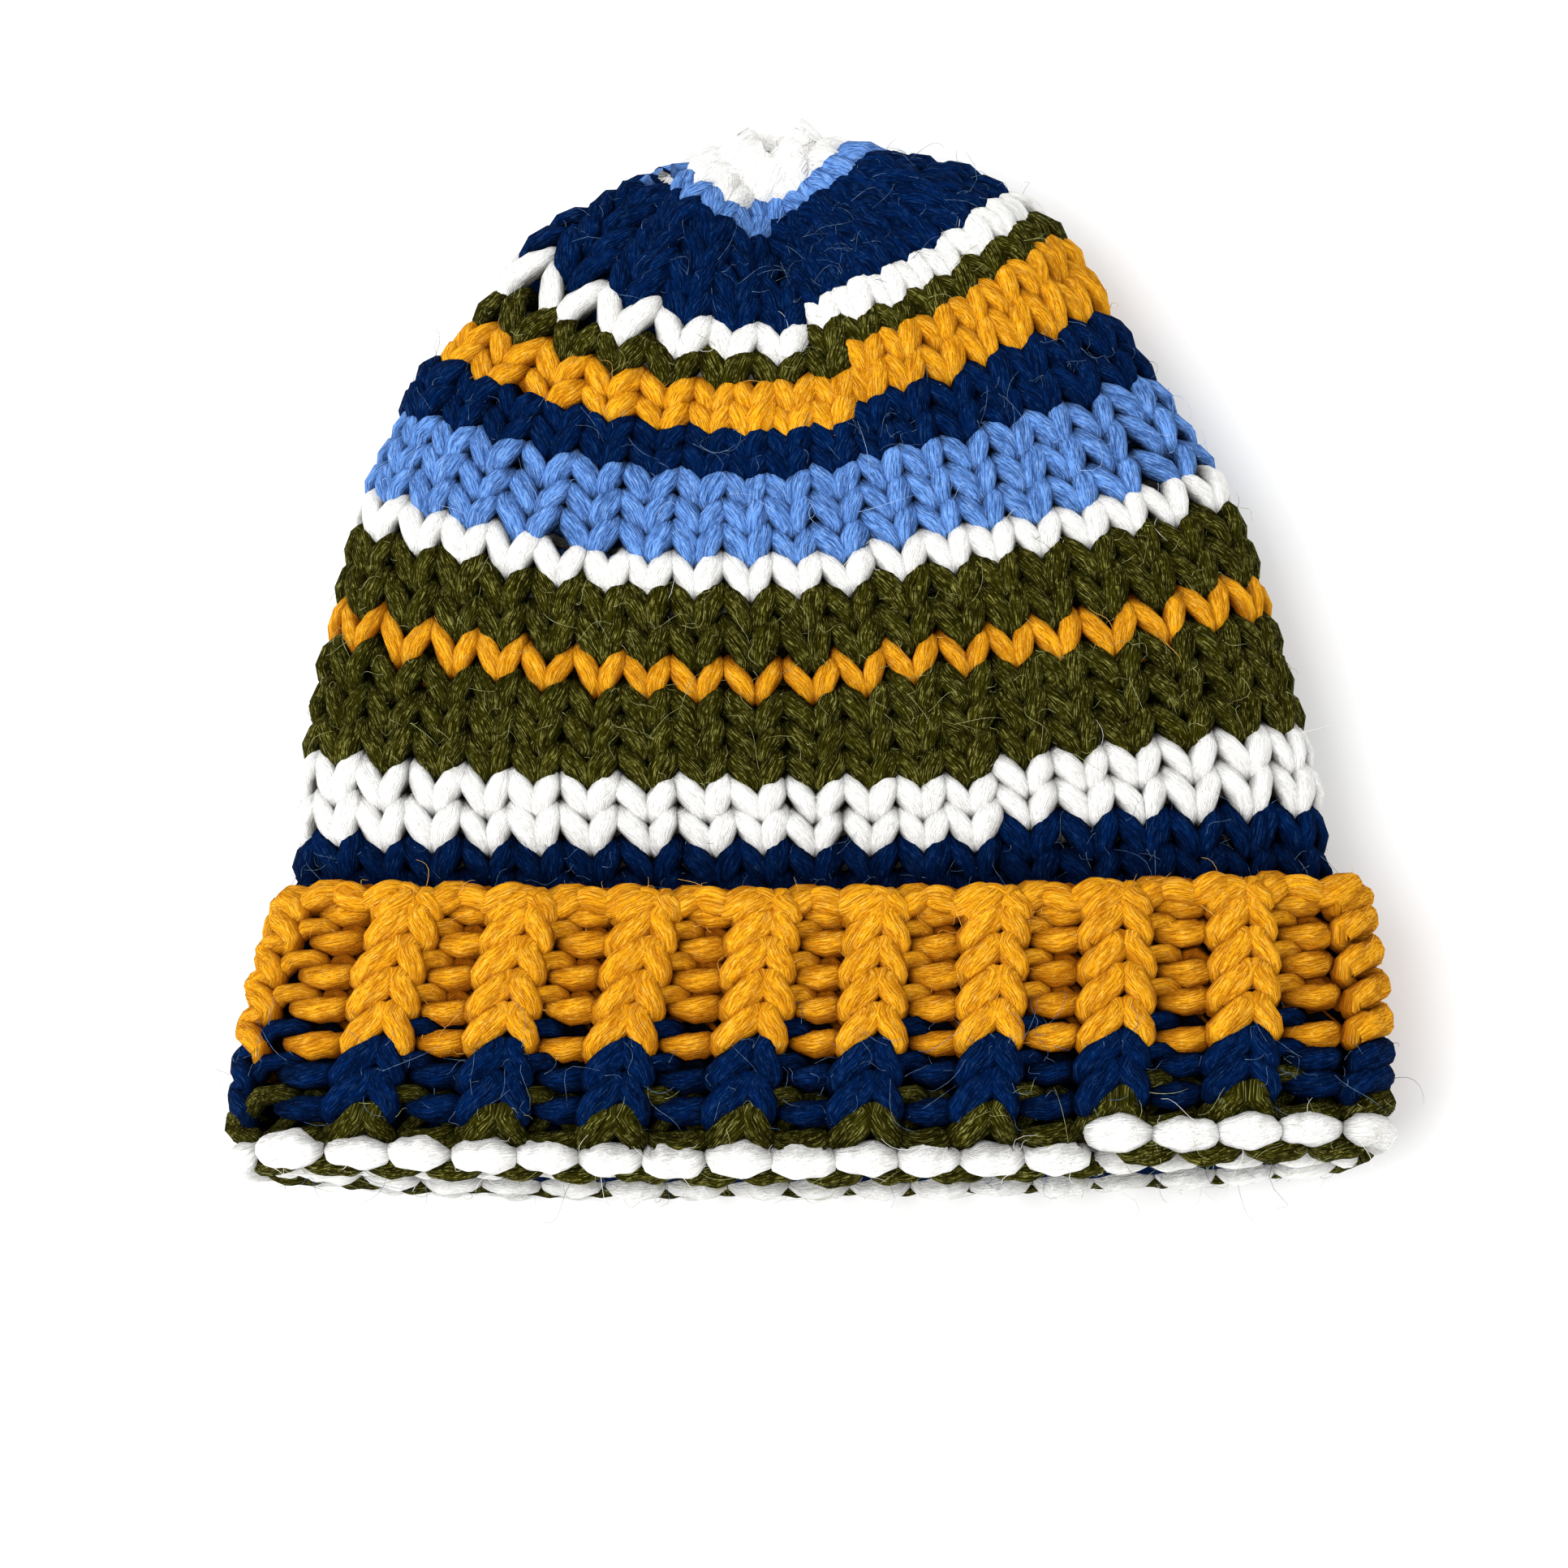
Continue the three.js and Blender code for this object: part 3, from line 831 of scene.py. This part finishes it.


# Each wool: its painted shade in the gaps, its painted shade in the grooves which its darker fibres
# also take, its colour in the light, its pale flecks and how many.
WOOL = {
    "mustard_wool": wool("mustard_wool", srgb(150, 80, 6), srgb(160, 84, 6), srgb(255, 179, 28),
                         srgb(255, 214, 110), 0.4),
    "navy_wool": wool("navy_wool", srgb(0, 1, 5), srgb(0, 4, 18), srgb(0, 32, 82), srgb(50, 84, 128), 0.3),
    "olive_wool": wool("olive_wool", srgb(8, 8, 1), srgb(3, 3, 0), srgb(55, 53, 4), srgb(162, 158, 84), 0.62),
    "light_blue_wool": wool("light_blue_wool", srgb(2, 12, 40), srgb(12, 44, 102), srgb(113, 165, 243),
                            srgb(168, 202, 250), 0.45),
    "white_wool": wool("white_wool", srgb(60, 58, 52), srgb(232, 230, 224), srgb(255, 255, 254),
                       srgb(255, 255, 255), 0.5),
}
FLYAWAY = {
    "mustard_wool": loose_fibre("mustard_flyaway", srgb(220, 150, 50), srgb(250, 205, 120)),
    "navy_wool": loose_fibre("navy_flyaway", srgb(30, 60, 100), srgb(115, 140, 165)),
    "olive_wool": loose_fibre("olive_flyaway", srgb(110, 115, 50), srgb(185, 188, 140)),
    "light_blue_wool": loose_fibre("light_blue_flyaway", srgb(120, 160, 215), srgb(190, 212, 245)),
    "white_wool": loose_fibre("white_flyaway", srgb(225, 222, 215), srgb(250, 250, 248)),
}
# Loose fibres on each wool: how many to a stitch, and how long by HAIR_LENGTHS.
HAIRS = {
    "mustard_wool": (5.0, 0.5),
    "navy_wool": (24.0, 0.85),
    "olive_wool": (18.0, 0.8),
    "light_blue_wool": (9.0, 0.8),
    "white_wool": (7.0, 0.7),
}

# ---------------------------------------------------------------- stripes
# Stripes of the rib: name, the round it begins in and its wool.
RIB_STRIPES = [
    ("rib_mustard", 0, "mustard_wool"),
    ("rib_navy", 5, "navy_wool"),
    ("rib_olive", 7, "olive_wool"),
]
# Rows of bumps round the hem: name, wool, past, plump, proud and tucked, as hem_bumps takes them.
HEM_ROWS = [
    ("hem_white", "white_wool", 0.0, 1.48, 2.1, 0.6),
    ("hem_olive", "olive_wool", 0.5, 1.3, 1.9, 2.4),
    ("hem_white_inner", "white_wool", 0.0, 1.2, 1.0, 0.0),
    ("hem_navy_inner", "navy_wool", 0.5, 1.0, 0.0, 0.0),
]
# Stripes of the body: name, the round it begins in, how many stitches past the seam, its wool and how
# thick its yarn is by YARN.
BODY_STRIPES = [
    ("navy_under_cuff", 11, 0, "navy_wool", 1.0),
    ("navy_over_cuff", 17, 0, "navy_wool", 1.05),
    ("white_double", 20, 0, "white_wool", 1.08),
    ("olive_wide", 22, 0, "olive_wool", 1.05),
    ("mustard_thin", 25, 2, "mustard_wool", 0.88),
    ("olive_middle", 26, 2, "olive_wool", 1.06),
    ("white_single", 28, 2, "white_wool", 1.1),
    ("light_blue_wide", 29, 2, "light_blue_wool", 1.07),
    ("navy_middle", 32, 2, "navy_wool", 1.08),
    ("mustard_double", 34, 2, "mustard_wool", 1.07),
    ("olive_thin", 36, 2, "olive_wool", 1.1),
    ("white_crown_band", 37, 3, "white_wool", 1.24),
    ("navy_crown", 38, 3, "navy_wool", 1.2),
    ("light_blue_crown", 42, 2, "light_blue_wool", 1.1),
    ("white_crown", 43, 2, "white_wool", 1.1),
]
CUFF_SHADE = 0.35  # how bright the body stays under the painted shadow in the gap behind the cuff
SHADE_COURSES = (18.4, 20.6)  # and the courses over which it comes out of it
TIP_UNSHADED_COURSES = (41.0, 42.2)  # the courses over which the tip is kept out of the painted shade of the fabric's depth
HEM_SHADE_LIFT = 0.6  # how far the painted shade in the hollows is lifted at the hem
HEM_SHADE_LIFT_COURSES = (6.2, 7.2)


def lift_painted_shade(parts, courses, least):
    """Past these courses the painted shade in the yarn's hollows goes no darker than this."""
    parts["shade"][:, 1] = np.maximum(parts["shade"][:, 1], least * smooth(parts["course"], *courses))


def wool_piece(name, parts, material, node):
    piece = mesh_piece(name, parts, material)
    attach(piece, "root")
    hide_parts(node)


def wool_pieces(name, parts, slot, node, side):
    """A stripe's yarn and the loose fibres on it."""
    wool_piece(name, parts, WOOL[slot], node)
    fibres = flyaway(parts, side, *HAIRS[slot])
    wool_piece(name + "_flyaway", fibres, FLYAWAY[slot], node)


def knit_cuff():
    ends = [ROUND_STARTS[number] for _, number, _ in RIB_STRIPES[1:]] + [ROUND_STARTS[RIB_ROUNDS]]
    for (name, number, slot), last in zip(RIB_STRIPES, ends):
        parts = tube(*rib_loops(ROUND_STARTS[number], last, 1.0))
        if number == 0:
            parts = joined([parts, tube(*cast_on(0)), tube(*cast_on(1))])
        # The painted shade in the hollows is lifted towards the hem.
        lift_painted_shade(parts, HEM_SHADE_LIFT_COURSES, HEM_SHADE_LIFT)
        wool_pieces(name, parts, slot, "turned_up_cuff", -1)
    for row, (name, slot, *shape) in enumerate(HEM_ROWS):
        parts = tube(*hem_bumps(row, *shape))
        # The painted shade in the hollows is lifted towards the hem.
        lift_painted_shade(parts, HEM_SHADE_LIFT_COURSES, HEM_SHADE_LIFT)
        wool_pieces(name, parts, slot, "turned_up_cuff", -1)


def knit_body():
    starts = [ROUND_STARTS[number] + past for _, number, past, _, _ in BODY_STRIPES] + [ROUND_STARTS[-1]]
    for (name, number, past, slot, size), first, last in zip(BODY_STRIPES, starts, starts[1:]):
        if number < COVERED - 1:
            hidden = tube(*body_loops(first, last, size, HIDDEN_STEPS), HIDDEN_SIDES)
            wool_piece(name, hidden, WOOL[slot], "knitted_body")
        else:
            parts = tube(*body_loops(first, last, size))
            # Painted shadow of the cuff on the body where it comes out from under it.
            out_of_cuff_shadow = smooth(parts["course"], *SHADE_COURSES)
            parts["shade"][:, 1] *= CUFF_SHADE + (1 - CUFF_SHADE) * out_of_cuff_shadow
            # At the tip the painted shade of the fabric's depth is lifted fully.
            lift_painted_shade(parts, TIP_UNSHADED_COURSES, 1.0)
            wool_pieces(name, parts, slot, "knitted_body", 1)


knit_cuff()
knit_body()

# ---------------------------------------------------------------- floor, light and camera
FLOOR_REACH = 3
floor_mesh = bpy.data.meshes.new("floor")
floor_corners = [(x * FLOOR_REACH, y * FLOOR_REACH, 0) for x, y in ((-1, -1), (1, -1), (1, 1), (-1, 1))]
floor_mesh.from_pydata(floor_corners, [], [(0, 1, 2, 3)])
floor_mesh.materials.append(Nodes("pale_floor").finished((0.9, 0.9, 0.9, 1), 0.9))
floor = bpy.data.objects.new("floor", floor_mesh)
bpy.context.collection.objects.link(floor)

ELEVATION = np.radians(74)
DISTANCE = 0.8
HALF_VIEW = 0.20125  # half the width in view, by how far away it is
LOOK_AT = (-5.7, HEM_Y + 85, 20)
camera_data = bpy.data.cameras.new("camera")
camera_data.angle = 2 * np.arctan(HALF_VIEW)
camera = bpy.data.objects.new("camera", camera_data)
camera.location = np.array(LOOK_AT) * MM + DISTANCE * np.array([0, -np.cos(ELEVATION), np.sin(ELEVATION)])
camera.rotation_euler = (TURN / 4 - ELEVATION, 0, 0)
bpy.context.collection.objects.link(camera)
bpy.context.scene.camera = camera


def lamp(name, place, size, power):
    """A square lamp that faces the hat."""
    data = bpy.data.lights.new(name, "AREA")
    data.size = size
    data.energy = power
    lit = bpy.data.objects.new(name, data)
    lit.location = place
    x, y, z = place
    lit.rotation_euler = (np.arctan2(np.hypot(x, y), z), 0, np.arctan2(-x, y) + np.pi)
    bpy.context.collection.objects.link(lit)


lamp("window", (-0.95, -0.4, 1.25), 1.4, 24)
world = bpy.data.worlds.new("studio")
world.use_nodes = True
sky = world.node_tree.nodes["Background"]
sky.inputs["Color"].default_value = (1, 1, 1, 1)
sky.inputs["Strength"].default_value = 1.08
bpy.context.scene.world = world
bpy.context.scene.view_settings.view_transform = "Standard"
